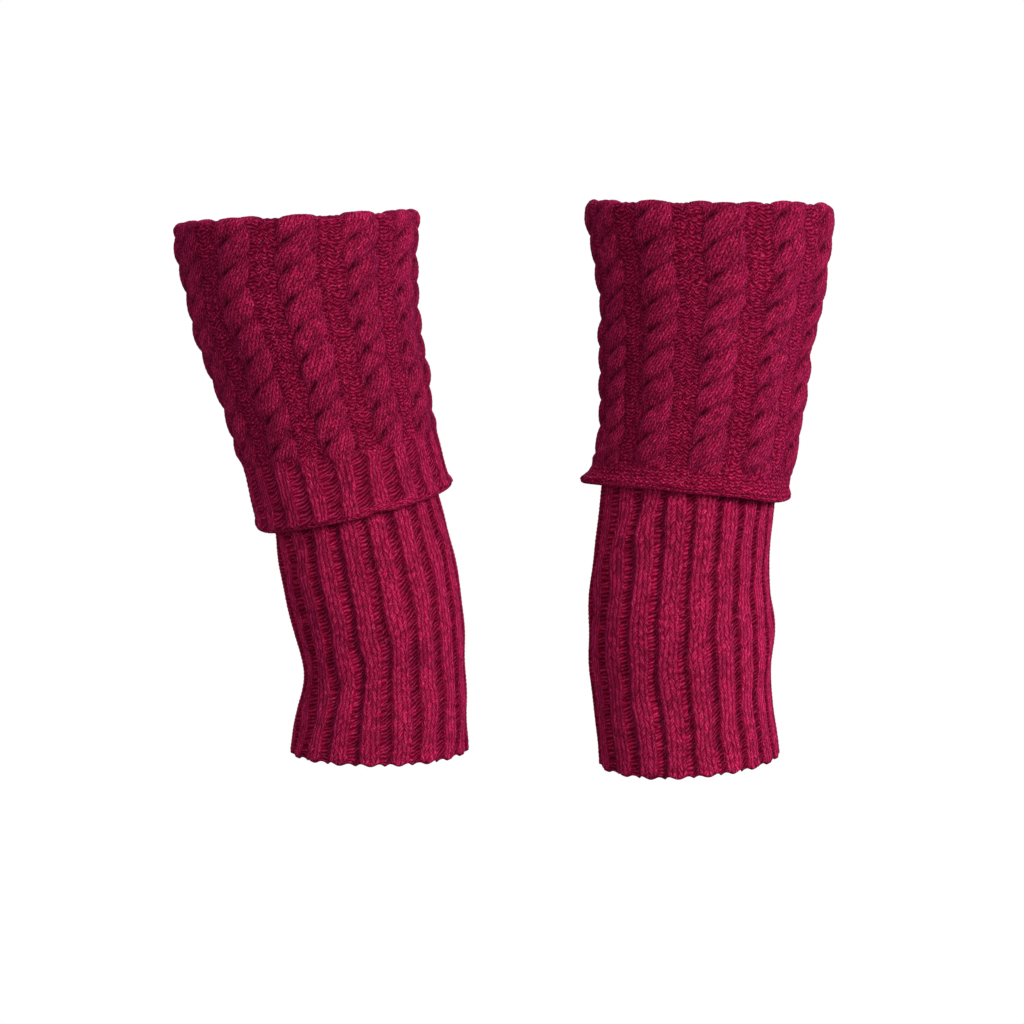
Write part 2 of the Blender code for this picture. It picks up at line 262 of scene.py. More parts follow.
RIGHT = Leg(
    cuff=[
        Section(0.00, 106.9, 1.6, 66.4, -0.4, 0.0),
        Section(0.25, 108.2, -38.6, 60.8, -0.8, -0.5),
        Section(0.50, 105.2, -74.4, 56.2, -1.7, -1.0),
        Section(0.75, 102.8, -110.7, 53.6, -3.0, -2.0),
        Section(1.00, 97.9, -148.4, 52.2, -4.8, -2.5),
    ],
    length=150.0 * MM,
    band=8.0 * MM,
    band_ribs=0.15,
    flare=8.8 * MM,
    flare_at=-174.0,
    cables=Pattern(phase=-86.8, spread=0.13, toward=-87.0),
    lobes=1,
    dips=[
        Dip(0.0, 26.0, 1.8 * MM, 0.0, 12 * MM),
        Dip(-95.0, 9.0, 1.0 * MM, 0.0, 9 * MM),
        Dip(-35.0, 20.0, 1.6 * MM, 150 * MM, 12 * MM),
        Dip(-115.0, 14.0, -0.8 * MM, 150 * MM, 10 * MM),
    ],
    tube=[
        Tube(0.00, 106.9, -6.7, 59.4, -0.4, 0.0, 0.0),
        Tube(0.12, 107.6, -38.0, 52.6, -0.6, -0.5, 0.2),
        Tube(0.25, 104.9, -73.6, 48.0, -1.3, -1.0, 0.5),
        Tube(0.38, 101.4, -109.2, 45.8, -2.0, -1.5, 0.8),
        Tube(0.51, 96.2, -147.2, 45.0, -1.3, -1.0, 1.0),
        Tube(0.63, 92.6, -181.7, 46.0, 0.3, 1.0, 1.0),
        Tube(0.75, 92.3, -216.3, 48.3, 2.2, 2.5, 1.0),
        Tube(0.875, 93.1, -250.9, 46.6, 4.2, 3.5, 1.0),
        Tube(1.00, 96.9, -287.0, 47.5, 3.8, 4.0, 1.0),
    ],
    ribs=Pattern(phase=-100.8, spread=0.20, toward=-183.0),
    rib_broad=0.60,
    tube_shows=0.43,
    seed=23,
)


def smooth(value, low, high):
    """0 below low, 1 above high, and an even ease between them."""
    t = np.clip((value - low) / (high - low), 0.0, 1.0)
    return t * t * (3 - 2 * t)


def round_profile(share):
    """The height of a round strand, from 0 at its sides to 1 at its crest."""
    across = 2 * (share % 1.0) - 1
    return np.sqrt(np.maximum(0.0, 1 - across**2))


def swell(form, from_middle):
    """The height of a round form at a distance from its middle, where 1 is its side."""
    return np.maximum(0.0, 1 - np.abs(from_middle) ** form.crown) ** form.side


def read_rows(table, along):
    """Rows of a table of sections at any places along it, on a smooth curve through its rows."""
    values = np.array([tuple(row) for row in table])
    knots = values[:, 0]
    last = len(table) - 1
    before = np.maximum(np.arange(last + 1) - 1, 0)
    after = np.minimum(np.arange(last + 1) + 1, last)
    slopes = (values[after] - values[before]) / (knots[after] - knots[before])[:, None]
    along = np.asarray(along, float)
    at = np.clip(np.searchsorted(knots, along, side="left") - 1, 0, last - 1)
    span = (knots[at + 1] - knots[at])[..., None]
    t = ((along - knots[at]) / span[..., 0])[..., None]
    curve = (2 * t**3 - 3 * t**2 + 1) * values[at]
    curve += (t**3 - 2 * t**2 + t) * span * slopes[at]
    curve += (3 * t**2 - 2 * t**3) * values[at + 1]
    curve += (t**3 - t**2) * span * slopes[at + 1]
    return curve


def place(rows, angle, out, up=0.0):
    """Points at angles round sections, moved out from their ovals and up along their axes."""
    centre_x, centre_z, half_width = rows[..., 1] * MM, rows[..., 2] * MM, rows[..., 3] * MM
    roll, pitch = np.radians(rows[..., 4]), np.radians(rows[..., 5])
    wide = (half_width + out) * np.cos(angle)
    deep = (half_width * DEPTH_RATIO + out) * np.sin(angle)
    x = centre_x + np.cos(roll) * wide - np.sin(roll) * np.cos(pitch) * up
    y = np.cos(pitch) * deep - np.cos(roll) * np.sin(pitch) * up
    z = centre_z + np.sin(roll) * wide + np.sin(pitch) * deep + np.cos(roll) * np.cos(pitch) * up
    return np.stack(np.broadcast_arrays(x, y, z), axis=-1)


def pattern_angle(pattern, turn_share):
    """The angle of a column, spread a little from an even turn."""
    knitted = math.radians(pattern.phase) + TURN * turn_share
    return knitted + pattern.spread * np.sin(knitted - math.radians(pattern.toward))


def turned_from(angle, degrees):
    """How far an angle is turned from another, at most half a turn either way."""
    return (angle - math.radians(degrees) + math.pi) % TURN - math.pi


def flare_out(leg, angle, above_hem):
    """How far a corner of the cuff's hem turns out."""
    turned = turned_from(angle, leg.flare_at)
    round_the_leg = np.exp(-((turned / math.radians(FLARE_WIDTH)) ** 2))
    return leg.flare * round_the_leg * np.maximum(0.0, 1 - above_hem / FLARE_RISE) ** FLARE_EASE


def dips_down(leg, angle, under_rim):
    """How far the cuff hangs lower than its even shape."""
    low = 0.0
    for dip in leg.dips:
        near = np.exp(-((turned_from(angle, dip.at) / math.radians(dip.reach)) ** 2))
        low = low + dip.low * near * np.exp(-(((under_rim - dip.under_rim) / dip.along) ** 2))
    return low


# Soft unevenness of the cloth: waves round the leg and along it, whose lengths are millimetres.
# The swells' sizes are millimetres and the wavers' are degrees.
Wave = namedtuple("Wave", "turns length size")
SWELLS = [Wave(2, 90, 0.35), Wave(3, 60, 0.30), Wave(5, 42, 0.24), Wave(7, 30, 0.18)]
WAVERS = [Wave(1, 130, 0.7), Wave(3, 70, 0.6), Wave(5, 42, 0.5), Wave(8, 27, 0.35)]


def waves(table, seed, angle, depth):
    """A sum of waves, the same at an angle and a full turn later. Depth is in metres."""
    phases = np.random.default_rng(seed).uniform(0, TURN, len(table))
    total = 0.0
    for wave, phase in zip(table, phases):
        along = TURN * depth / (wave.length * MM)
        total = total + wave.size * np.sin(wave.turns * angle + along + phase)
    return total


def scatter(seed, row, wale, wales):
    """An even random number from -1 to 1 for each stitch."""
    table = np.random.default_rng(seed).uniform(-1, 1, (STITCH_TABLE, wales))
    return table[np.floor(row).astype(int) % STITCH_TABLE, np.floor(wale).astype(int) % wales]


# What a stitch adds to its place: a height in metres, and moves in wales and in rows
Stitch = namedtuple("Stitch", "height sideways down")


def lap(phase):
    """A stitch's height along its row: it dips where the next one laps over it."""
    return 1 - LAP * (0.5 + 0.5 * np.cos(TURN * phase)) ** 2


def strand(legs, phase):
    """The height of the legs of knit stitches, side by side."""
    crest = (YARN_FLOOR + (1 - YARN_FLOOR) * round_profile(legs)) * lap(phase)
    return YARN_RELIEF * (crest - YARN_LEVEL)


def knit_stitch(across, phase):
    """The two arms of a knit stitch, a V. across runs over the wale and phase down the row."""
    side = np.where(across < 0.5, -1.0, 1.0)
    sideways = side * V_SLANT * np.sin(TURN * phase) * round_profile(2 * across)
    return Stitch(strand(2 * across, phase), sideways, -V_RISE * np.abs(2 * across - 1))


def purl_stitch(across, phase):
    """The bump of a purl stitch, an arc across the wale."""
    ridge = (0.5 - 0.5 * np.cos(TURN * phase)) ** PURL_RIDGE
    middle = 0.5 + 0.5 * np.cos(TURN * (across - 0.5))
    height = PURL_RELIEF * (ridge * (1 - PURL_MIDDLE + PURL_MIDDLE * middle) - PURL_LEVEL)
    return Stitch(height, 0.0 * height, -PURL_ARC * (2 * middle - 1))


def rib_profile(wale, broad):
    """2x2 rib: 0 in the furrow at wale 0, 1 on the knit pair at wale 2."""
    wave = np.cos(TURN * (wale / RIB_WALES - 0.5)) + broad
    low, high = math.tanh(RIB_EDGE * (broad - 1)), math.tanh(RIB_EDGE * (broad + 1))
    return (np.tanh(RIB_EDGE * wave) - low) / (high - low)


def is_knit(wale):
    """The knit pair runs from wale 1 to wale 3 of each four."""
    return ((wale + NUDGE) % RIB_WALES >= 1) & ((wale + NUDGE) % RIB_WALES < 3)


def furrow_strands(wale, row):
    """Stitch coordinates in which the two purl wales of a furrow are one slanted strand a row."""
    part = ((wale + 1 + NUDGE) % RIB_WALES) / 2
    furrow = ~is_knit(wale)
    return wale - np.where(furrow, part, 0.0), row + np.where(furrow, FURROW_SLANT * part, 0.0)


def rib_stitch(wale, row, seed, wales):
    """The stitches of a 2x2 rib, uneven in height and place."""
    across, phase = wale % 1.0, row % 1.0
    knit = is_knit(wale)
    flat = 0.0 * across
    flat_purl = Stitch(PURL_IN_FURROW * purl_stitch(across, phase).height, flat, flat)
    parts = [np.where(knit, a, b) for a, b in zip(knit_stitch(across, phase), flat_purl)]
    uneven = 1 + STITCH_SCATTER * scatter(seed, row, wale + NUDGE, wales)
    moved = PLACE_SCATTER * scatter(seed + 50, row, (wale + NUDGE) / 2, wales // 2)
    return Stitch(parts[0] * uneven, parts[1] + moved * np.where(knit, 1.0, 0.5), parts[2])


# A grid of points with its stitch coordinates, its place on the bake map, how far its stitches
# are purl, and its painted shade, which follows how deep it lies between ribs or cables.
Panel = namedtuple("Panel", "points wale row chart purl deep turn")


def panel(points, wale, row, chart, purl, deep, turn=None):
    """A grid whose other values are spread over all its points."""
    rows, columns = points.shape[:2]
    if turn is None:
        turn = np.linspace(0, 1, columns)
    values = (wale, row, chart, purl, deep, turn)
    return Panel(points, *(np.broadcast_to(value, (rows, columns)) for value in values))


def on_map(band, share):
    """Heights on the bake map at shares of the way through a band of it."""
    low, high = band
    return low + (high - low) * share


def add_object(name, data):
    made = bpy.data.objects.new(name, data)
    bpy.context.scene.collection.objects.link(made)
    return made


def mesh_piece(name, panels, material):
    """One closed mesh from grids of points, whose shared edges are welded."""
    quads = []
    first = 0
    for part in panels:
        rows, columns = part.points.shape[:2]
        index = first + np.arange(rows * columns).reshape(rows, columns)
        corners = [index[:-1, :-1], index[1:, :-1], index[1:, 1:], index[:-1, 1:]]
        quads.append(np.stack(corners, axis=-1).reshape(-1, 4))
        first += rows * columns
    quads = np.concatenate(quads)
    points = np.concatenate([part.points.reshape(-1, 3) for part in panels])

    def joined(*fields):
        parts = [np.concatenate([getattr(part, field).ravel() for part in panels]) for field in fields]
        return np.stack(parts, axis=-1).astype(np.float32)

    mesh = bpy.data.meshes.new(name)
    mesh.vertices.add(len(points))
    mesh.vertices.foreach_set("co", points.astype(np.float32).ravel())
    mesh.loops.add(quads.size)
    mesh.loops.foreach_set("vertex_index", quads.astype(np.int32).ravel())
    mesh.polygons.add(len(quads))
    mesh.polygons.foreach_set("loop_start", np.arange(0, quads.size, 4, dtype=np.int32))
    mesh.update(calc_edges=True)
    for map_name, values in (("stitches", joined("wale", "row")), ("OFBake", joined("turn", "chart"))):
        layer = mesh.uv_layers.new(name=map_name)
        layer.uv.foreach_set("vector", values[quads.ravel()].ravel())
    # purl, and deep: the painted shade by which the yarn's material darkens its colour
    for field in ("purl", "deep"):
        mesh.attributes.new(field, "FLOAT", "POINT").data.foreach_set("value", joined(field).ravel())

    welded = bmesh.new()
    welded.from_mesh(mesh)
    bmesh.ops.remove_doubles(welded, verts=welded.verts, dist=WELD)
    welded.to_mesh(mesh)
    welded.free()
    mesh.shade_smooth()
    mesh.materials.append(material)
    return add_object(name, mesh)


def tube_seam(leg, angle, inside):
    """The top edge of the tube, under the end of the cuff's short inner limb."""
    rim = read_rows(leg.cuff, 0.0)
    out = -CABLE_HEIGHT - 2 * FOLD_RADIUS + (0.0 if inside else WALL)
    return place(rim, angle, out, -LIMB_DEPTH - SEAM_GAP)


def tube_grid(leg, length, depth, inside, stitched):
    """One face of the tube at rings of given depths, with its stitches raised or flat."""
    depth = depth[:, None]
    wale = np.arange(TUBE_WALES * MESH_PER_WALE + 1)[None, :] / MESH_PER_WALE
    row = (length - depth) / TUBE_ROW
    spread = RIB_SPREAD * leg.rib_broad * RIB_WALES / TURN
    spread_wale = wale - spread * np.sin(TURN * wale / RIB_WALES)
    angle = pattern_angle(leg.ribs, spread_wale / TUBE_WALES)
    uneven = waves(SWELLS, leg.seed, angle, depth) * MM
    waver = np.radians(waves(WAVERS, leg.seed + 1, angle, depth))

    knit = is_knit(wale) != inside
    stitch = rib_stitch(wale, row, leg.seed + 2, TUBE_WALES)
    fine_row = row + 0.0 * wale
    if not stitched:
        fine_row = row + np.where(knit, stitch.down, -stitch.down)
        stitch = Stitch(*(0.0 * value for value in stitch))
    hem_fade = smooth(length - depth, 0.0, EDGE_FADE)
    sideways = stitch.sideways * hem_fade * TURN / TUBE_WALES
    moved = np.clip(depth + stitch.down * hem_fade * TUBE_ROW, 0.0, length)

    rib = read_rows(leg.tube, np.clip(depth / length, 0.0, 1.0))[..., 6]
    raised = rib_profile(wale, leg.rib_broad)
    if inside:
        out = -RIB_HEIGHT * rib - WALL + INNER_RIB * rib * raised
    else:
        out = FURROW_DEPTH * rib * (raised - 1) + stitch.height
    near_hem = np.maximum(0.0, 1 - (length - depth) / SCALLOP_RISE)
    hang = -SCALLOP * np.cos(math.pi * wale) * near_hem
    angle = angle + waver + sideways
    points = place(read_rows(leg.tube, moved / length), angle, out + uneven, hang)
    blend = smooth(depth / length, 0.0, TOP_BLEND)[..., None]
    points = tube_seam(leg, angle, inside) * (1 - blend) + points * blend

    purl = np.where(knit, 0.0, 1.0) + 0.0 * row
    if inside:
        # painted shade on the inner face, along the ribs
        return points, wale, -fine_row, purl, TUBE_INSIDE_SHADE * raised * rib
    # Painted shade in the furrows, lying to the side turned from the light
    furrow = 1 - rib_profile(wale - SHADE_SHIFT, leg.rib_broad)
    deep = FURROW_SHADE * furrow * (FLAT_SHADE + (1 - FLAT_SHADE) * rib)
    wale, fine_row = furrow_strands(wale, -fine_row)
    return points, wale, fine_row, purl, deep


def rib_tube(leg, name, material):
    """The ribbed tube: stitches outside where it shows, plainer under the cuff and inside."""
    centres = np.array([(row.centre_x, row.centre_z) for row in leg.tube]) * MM
    length = np.linalg.norm(np.diff(centres, axis=0), axis=1).sum()
    rows_shown = round(length * (1 - leg.tube_shows) / TUBE_ROW)
    shown = length - np.arange(rows_shown * MESH_PER_ROW, -1, -1) * TUBE_ROW / MESH_PER_ROW
    hidden = np.linspace(0.0, length - rows_shown * TUBE_ROW, HIDDEN_ROWS)
    inner_low = length - np.arange(INNER_LOW_ROWS) * INNER_STEP
    inner_high = np.linspace(inner_low[-1], 0.0, INNER_HIGH_ROWS + 1)[1:]
    inner = np.concatenate([inner_low, inner_high])

    def chart(band, depth):
        return on_map(band, depth / length)[:, None]

    def outer_panel(depth, stitched):
        points, wale, row, purl, deep = tube_grid(leg, length, depth, False, stitched)
        return panel(points, wale, row, chart(TUBE_OUTER, depth), purl, deep)

    under_cuff, below = outer_panel(hidden, False), outer_panel(shown, True)
    under_cuff.points[-1] = below.points[0]
    points, wale, row, purl, deep = tube_grid(leg, length, inner, True, False)
    outer_end = below.points[-1]
    edge = (outer_end + points[0]) / 2
    edge[:, 2] -= EDGE_DROP * WALL
    points = np.concatenate([outer_end[None], edge[None], points, under_cuff.points[:1]])
    row, purl, deep = (np.concatenate([a[:1], a[:1], a, a[-1:]]) for a in (row, purl, deep))
    edge_chart = np.array(TUBE_EDGE)[:, None]
    inner_chart = np.concatenate([edge_chart, chart(TUBE_INNER[::-1], inner), [[TUBE_SEAM]]])
    inner_face = panel(points, wale, row, inner_chart, purl, deep)
    return mesh_piece(name, [under_cuff, below, inner_face], material)


def cuff_end(leg):
    """The cuff's wall runs down to the widest place of the rolled hem."""
    return leg.length - HEM_RADIUS - FOLD_RADIUS


def cuff_place(leg, angle, depth, height):
    """Points on the cuff. depth runs down its outer face from the end of the fold; above that,
    where it is negative, the cloth rolls over the rim and down into the short inner limb."""
    fold = np.clip(-depth / FOLD_RADIUS, 0.0, math.pi)
    limb = np.maximum(0.0, -depth - math.pi * FOLD_RADIUS)
    over_rim = FOLD_RADIUS * np.maximum(0.0, 1 - fold / (math.pi / 2))
    from_rim = np.where(depth >= 0, depth + FOLD_RADIUS, over_rim)
    rows = read_rows(leg.cuff, from_rim / leg.length)
    reach = FOLD_RADIUS + height
    out = -CABLE_HEIGHT - FOLD_RADIUS + reach * np.cos(fold)
    on_face = np.minimum(from_rim, FOLD_RADIUS)
    up = -FOLD_RADIUS + reach * np.sin(fold) + on_face - limb
    out = out + flare_out(leg, angle, leg.length - from_rim)
    return place(rows, angle, out, up - dips_down(leg, angle, from_rim))


# Columns of the cuff's mesh: the cable they belong to, whether they lie on its rope, where they lie
# across it from -1 to 1, or where they lie on the ground beside it from 0 to 1
CuffColumns = namedtuple("CuffColumns", "cable rope across ground")


def rope_columns(cable):
    across = -1 + 2 * np.arange(ROPE_MESH + 1) / ROPE_MESH
    return CuffColumns(cable + 0 * across, np.ones(ROPE_MESH + 1), across, 0 * across)


def ground_columns(cable):
    count = GROUND_WALES * GROUND_MESH
    ground = np.arange(count + 1) / count
    return CuffColumns(cable + 0 * ground, np.zeros(count + 1), 1 + 0 * ground, ground)


def all_columns():
    """The columns of all ropes and grounds, with the first one again at the end."""
    parts = []
    for cable in range(CABLE_COUNT):
        for part in (rope_columns(cable), ground_columns(cable)):
            parts.append(CuffColumns(*(values[:-1] for values in part)))
    parts.append(CuffColumns(*(np.array([value]) for value in (CABLE_COUNT, 1.0, -1.0, 0.0))))
    return CuffColumns(*(np.concatenate(values) for values in zip(*parts)))


def column_wale(columns):
    """The wale of each column, counted round the whole cuff."""
    half = ROPE_WALES / 2
    on_rope = half + half * columns.across
    on_ground = ROPE_WALES + GROUND_WALES * columns.ground
    return np.where(columns.rope > 0.5, on_rope, on_ground) + CABLE_WALES * columns.cable


def rope_place(across):
    """Where a column of the rope lies across it: closer together where the rope turns down."""
    return 0.4 * across + 0.6 * np.sin(math.pi / 2 * across)


def lobe_at(leg, depth, across):
    """How many lobes of the rope lie above a place on it."""
    return depth / CABLE_PITCH + (LEAN_ROWS * across + leg.lobes) / LOBE_ROWS + NUDGE


def lobe_round(lobe):
    """The round form along the rope: 0 where two lobes meet, 1 on a lobe."""
    return swell(ALONG_LOBE, 2 * (lobe % 1.0) - 1)


# A rope's height, the strand and the stitch at each place on it, and its shade
Rope = namedtuple("Rope", "height legs along shade")


def rope_form(leg, cable, across, depth, rim):
    """The rope: round lobes, over which the strands run up steeply from pair to pair."""
    lobe = lobe_at(leg, depth, across)
    rounded = lobe_round(lobe)
    cross = swell(ACROSS_ROPE, rope_place(across))
    chance = scatter(leg.seed + 20, lobe + FIRST_LOBE, cable, CABLE_COUNT)
    tilt = 1 + CABLE_TILT * across * (2 * (lobe % 1.0) - 1)
    tilt = tilt * (1 + LOBE_SCATTER * chance)
    body = CABLE_HEIGHT * cross * (CABLE_VALLEY + (1 - CABLE_VALLEY) * rounded * tilt)

    side = smooth(1 - np.abs(across), 0.0, ROPE_SIDE)
    from_joint = (lobe + 0.5) % 1.0 - 0.5
    pit = side * np.exp(-(((across - PIT_AT) / PIT_WIDTH) ** 2) - (from_joint / PIT_LENGTH) ** 2)
    body = body - PIT_DEPTH * pit

    legs = ROPE_LEGS * (across + lobe) + ROPE_SHIFT * np.floor(lobe)
    along = ROPE_STITCHES * depth / CABLE_PITCH - ROPE_SLANT * across
    uneven = 1 + STITCH_SCATTER * scatter(leg.seed + 4, along, legs + cable * CABLE_WALES, CUFF_WALES)
    faded = side * (ROPE_FOOT + (1 - ROPE_FOOT) * cross)
    yarn = ROPE_RELIEF * strand(legs, along) * uneven * faded

    # Painted shade between lobes and in the pits, more at the rope's sides and at its left side, turned
    # from the light, with a random tone for each lobe
    crease_shade = CREASE_SHADE + CREASE_SIDES * np.abs(across) - CREASE_LEFT * across
    shade = (1 - rounded) * crease_shade + PIT_SHADE * pit - LOBE_TONE * chance * rounded
    return Rope(body * rim + yarn, legs, along, shade)


def ground_form(leg, wale, row, ground):
    """The purl ground between two ropes, level where it meets them."""
    purl = purl_stitch(wale % 1.0, row % 1.0)
    foot = smooth(ground, 0.0, FOOT) * smooth(1 - ground, 0.0, FOOT)
    uneven = 1 + STITCH_SCATTER * scatter(leg.seed + 5, row, wale, CUFF_WALES)
    moved = PLACE_SCATTER * scatter(leg.seed + 9, row, wale, CUFF_WALES)
    return Stitch(purl.height * foot * uneven, moved * foot, purl.down * foot)


def is_plain(leg):
    """Whether the band under the cables has plain purl rows in place of ribs."""
    return leg.band_ribs < 0.5


def band_form(leg, wale, row, depth):
    """The band under the cables: ribs or plain purl rows, which swell into the roll at their end."""
    ribbed = rib_stitch(wale, row, leg.seed + 3, CUFF_WALES)
    ribs = CABLE_HEIGHT * BAND_RIB * rib_profile(wale, BAND_BROAD) + ribbed.height
    plain = BAND_PLAIN * CABLE_HEIGHT + BAND_PURL * purl_stitch(wale % 1.0, row % 1.0).height
    height = ribs * leg.band_ribs + plain * (1 - leg.band_ribs)
    end_roll = smooth(depth, cuff_end(leg) - ROLL_FROM, cuff_end(leg) - ROLL_TO)
    height = height * (1 - ROLL_FLAT * end_roll) + end_roll * (HEM_RADIUS - HEM_INSET - ROLL_GAP)
    return Stitch(height, ribbed.sideways, -ribbed.down * leg.band_ribs)


def band_texture(leg, wale, row):
    """Stitch coordinates of the band."""
    if is_plain(leg):
        return wale * GROUND_FINE, row * GROUND_FINE
    return furrow_strands(wale, np.where(is_knit(wale), -row, row * GROUND_FINE))


def cuff_grid(leg, columns, depth, cable_end):
    """The stitched outer face of the cuff at a grid of columns and depths."""
    on_rope = columns.rope[None, :] > 0.5
    values = (columns.across, columns.ground, columns.cable, column_wale(columns))
    across, ground, cable, wale = (value[None, :] + 0.0 * depth for value in values)
    row = depth / CUFF_ROW

    band = smooth(depth, cable_end - BAND_ABOVE, cable_end + BAND_BELOW)
    edge = smooth(depth, LIMB_END, LIMB_END + LIMB_FADE) * smooth(cable_end - depth, 0.0, EDGE_FADE)
    hem_fade = smooth(cuff_end(leg) - depth, 0.0, EDGE_FADE)
    near_rim = smooth(depth, RIM_TOP, RIM_EASE)
    in_limb = smooth(depth, LIMB_END, RIM_TOP)
    rim = CABLE_IN_LIMB + (CABLE_AT_RIM - CABLE_IN_LIMB) * in_limb + (1 - CABLE_AT_RIM) * near_rim

    rope = rope_form(leg, cable, across, depth, rim)
    purl = ground_form(leg, wale, row, ground)
    banded = band_form(leg, wale, row, depth)
    height = np.where(on_rope, rope.height, purl.height) * (1 - band) + banded.height * band
    sink = np.where(on_rope, 0.0, purl.down * CUFF_ROW * edge) * (1 - band)
    moved = depth + sink + banded.down * CUFF_ROW * band * hem_fade

    # A column's place in its cable's part of the turn: the ropes swell at each lobe
    def half_width(at):
        swollen = 2 * lobe_round(lobe_at(leg, depth, at)) - 1
        return ROPE_SHARE * (1 + CABLE_BULGE * swollen * np.abs(at) * rim)

    left, right = half_width(1.0), half_width(-1.0)
    beside = left + (1 - left - right) * ground + purl.sideways / CABLE_WALES
    share = np.where(on_rope, half_width(across) * rope_place(across), beside)
    even = (wale - CABLE_WALES * cable - ROPE_WALES / 2) / CABLE_WALES
    share = share * (1 - band) + even * band + banded.sideways / CABLE_WALES * band * hem_fade
    angle = pattern_angle(leg.cables, (cable + share) / CABLE_COUNT)
    waver = np.radians(waves(WAVERS, leg.seed + 6, angle, depth))
    angle = angle + waver * smooth(depth, 0.0, SETTLE)
    uneven = waves(SWELLS, leg.seed + 7, angle, depth) * MM * smooth(depth, -SETTLE, SETTLE)
    points = cuff_place(leg, angle, moved, height + uneven)

    # Painted shade: over the whole cuff, in the creases and pits of the ropes, on the ground beside
    # them and in the band's furrows
    near_rope = 1 - smooth(np.minimum(ground, 1 - ground), 0.0, BESIDE_REACH)
    deep = CUFF_SHADE + np.where(on_rope, rope.shade, GROUND_SHADE + BESIDE_SHADE * near_rope)
    furrow = 1 - rib_profile(wale - SHADE_SHIFT, BAND_BROAD)
    band_painted_shade = BAND_SHADE * furrow * leg.band_ribs + PLAIN_SHADE * (1 - leg.band_ribs)
    deep = deep * (1 - band) + band_painted_shade * band
    band_purl = np.where(is_knit(wale) & (not is_plain(leg)), 0.0, 1.0)
    is_purl = np.where(on_rope, 0.0, 1.0) * (1 - band) + band_purl * band

    if np.all(depth >= cable_end - WELD):
        fine_wale, fine_row = band_texture(leg, wale, row)
    else:
        fine_wale = np.where(on_rope, rope.legs / 2 + CABLE_TEXTURE * cable, wale * GROUND_FINE)
        fine_row = np.where(on_rope, rope.along, row * GROUND_FINE)
    return points, fine_wale, fine_row, is_purl, deep


def cable_cuff(leg, name, material):
    """The cuff: ropes in slanted grids, ground and band in level ones, and a plain inner face."""
    end = cuff_end(leg)
    cable_end = CUFF_STEP * round((end - leg.band) / CUFF_STEP)
    first = math.floor(LIMB_END / CUFF_STEP)
    last = round(cable_end / CUFF_STEP)

    def outer_panel(columns, depth):
        points, wale, row, purl, deep = cuff_grid(leg, columns, depth, cable_end)
        chart = on_map(CUFF_OUTER, (depth - LIMB_END) / (end - LIMB_END))
        turn = column_wale(columns)[None, :] / CUFF_WALES
        return panel(points, wale, row, chart, purl, deep, turn)

    panels = []
    for cable in range(CABLE_COUNT):
        columns = rope_columns(cable)
        index = np.arange(first - LEAN_ROWS, last + LEAN_ROWS + 1)[:, None]
        lean = LEAN_ROWS * columns.across[None, :]
        depth = np.clip((index - lean) * CUFF_STEP, LIMB_END, cable_end)
        panels.append(outer_panel(columns, depth))
        columns = ground_columns(cable)
        index = np.arange(first, last + 1)[:, None]
        depth = np.clip(index * CUFF_STEP + 0.0 * columns.ground[None, :], LIMB_END, cable_end)
        panels.append(outer_panel(columns, depth))

    columns = all_columns()
    rows = np.append(np.arange(last * 1.0, end / CUFF_STEP - 0.3, 1.0) * CUFF_STEP, end)[:, None]
    banded = outer_panel(columns, rows + 0.0 * columns.cable[None, :])
    panels.append(banded)

    # The inner face, from the band's end up over the fold to the end of the limb
    limb_ring = cuff_grid(leg, columns, np.full((1, len(columns.cable)), LIMB_END), cable_end)[0]
    turn = column_wale(columns)[None, :] / CUFF_WALES
    even = turn - ROPE_WALES / 2 / CUFF_WALES
    angle = pattern_angle(leg.cables, even)
    hem_ring = cuff_place(leg, angle, end - ROLL_TO + 0.0 * even, HEM_RADIUS - HEM_INSET - ROLL_WALL)
    face = [end - EDGE_FADE, 0.75 * end, 0.5 * end, 0.25 * end, 0.0]
    fold = [-math.pi * FOLD_RADIUS * share for share in (0.25, 0.5, 0.75, 1.0)]
    depth = np.array(face + fold + [LIMB_END])[:, None] + 0.0 * even
    inner_face = cuff_place(leg, angle + 0.0 * depth, depth, -WALL)
    points = np.concatenate([banded.points[-1:], hem_ring, inner_face, limb_ring])
    chart = np.linspace(*CUFF_INNER, len(points))[:, None]
    row = chart * INNER_TEXTURE
    # with an even painted shade on the inner face
    panels.append(panel(points, turn * CUFF_WALES, row, chart, 1.0, CUFF_INSIDE_SHADE, turn))
    return mesh_piece(name, panels, material)


def rolled_hem(leg, name, material):
    """The curled lower edge of the cuff, a roll of purl bumps."""
    wale = np.arange(CUFF_WALES * HEM_MESH + 1)[None, :] / HEM_MESH
    turn = np.arange(HEM_ROWS + 1)[:, None] / HEM_ROWS
    row = turn * HEM_ROWS / HEM_MESH
    purl = purl_stitch(wale % 1.0, row % 1.0)
    angle = TURN * wale / CUFF_WALES + 0.0 * row
    around = TURN * (turn + purl.down / HEM_ROWS * HEM_MESH)
    from_rim = leg.length - HEM_RADIUS
    rows = read_rows(leg.cuff, from_rim / leg.length + 0.0 * angle)
    uneven = 1 + HEM_UNEVEN * waves(SWELLS, leg.seed + 8, angle, 0.0 * angle)
    lumps = 1 + STITCH_SCATTER * scatter(leg.seed + 10, row, wale, CUFF_WALES)
    radius = (HEM_RADIUS - HEM_CRESTS) * uneven + HEM_RELIEF * purl.height * lumps
    middle = -CABLE_HEIGHT - HEM_INSET + flare_out(leg, angle, HEM_RADIUS)
    low = dips_down(leg, angle, from_rim)
    points = place(rows, angle, middle + radius * np.cos(around), -radius * np.sin(around) - low)
    fine_wale, fine_row = wale * HEM_FINE, row * HEM_FINE
    # HEM_SHADE is below 0 and paints light onto the roll
    rolled = panel(points, fine_wale, fine_row, turn, 1.0, HEM_SHADE, wale / CUFF_WALES)
    return mesh_piece(name, [rolled], material)
